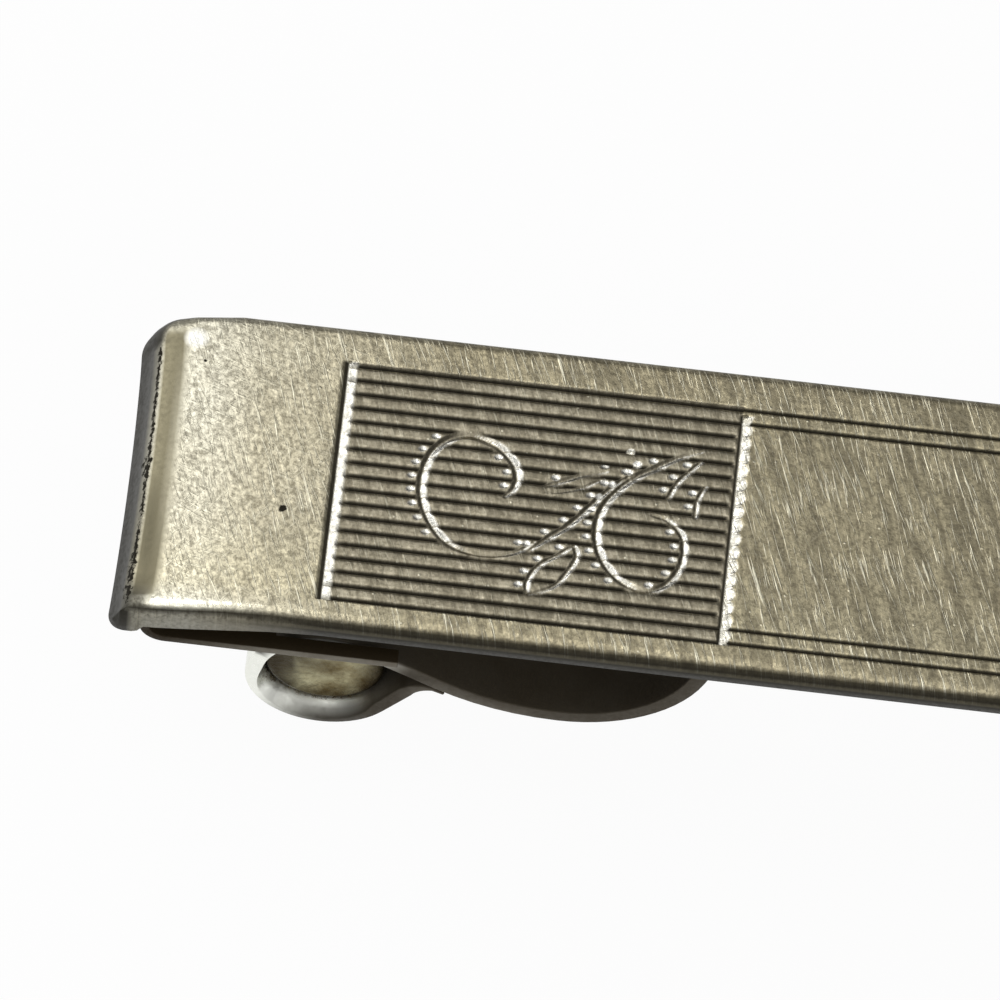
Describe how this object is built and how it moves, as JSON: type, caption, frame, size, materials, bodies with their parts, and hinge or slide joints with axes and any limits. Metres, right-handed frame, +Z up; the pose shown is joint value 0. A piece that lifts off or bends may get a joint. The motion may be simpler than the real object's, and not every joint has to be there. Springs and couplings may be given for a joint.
{
  "type": "tie clip",
  "caption": "Flat engraved tie clip: a ribbed metal bar with a plain middle and a sprung toothed jaw hinged behind one end to grip a tie.",
  "frame": {"origin": "middle of the clip's footprint, level with the bottom of the hinge eyes", "axes": "+X along the bar away from the hinge end, +Y across the bar to its upper edge, +Z up through the engraved face"},
  "size_m": [0.052, 0.0094, 0.0061],
  "materials": {
    "bar_plating": "worn pale plating, finely brushed, dark in the cuts",
    "strip_metal": "tarnished rolled strip, dull inside",
    "pin_metal": "bright drawn wire, stained",
    "spring_wire": "drawn spring wire"
  },
  "bodies": {
    "bar": {"front_bar": "bar_plating", "hinge_leaf": "strip_metal", "hinge_pin": "pin_metal", "torsion_spring": "spring_wire"},
    "jaw": {"jaw": "strip_metal"}
  },
  "joints": [
    {"name": "jaw_hinge", "type": "hinge", "parent": "bar", "child": "jaw", "pos_m": [-0.02015, 0, 0.0021], "axis": [0, 1, 0], "range_deg": [0, 45], "stiffness_Nm_per_rad": 0.006, "springref_deg": -148.97, "deforming": ["torsion_spring"]}
  ]
}
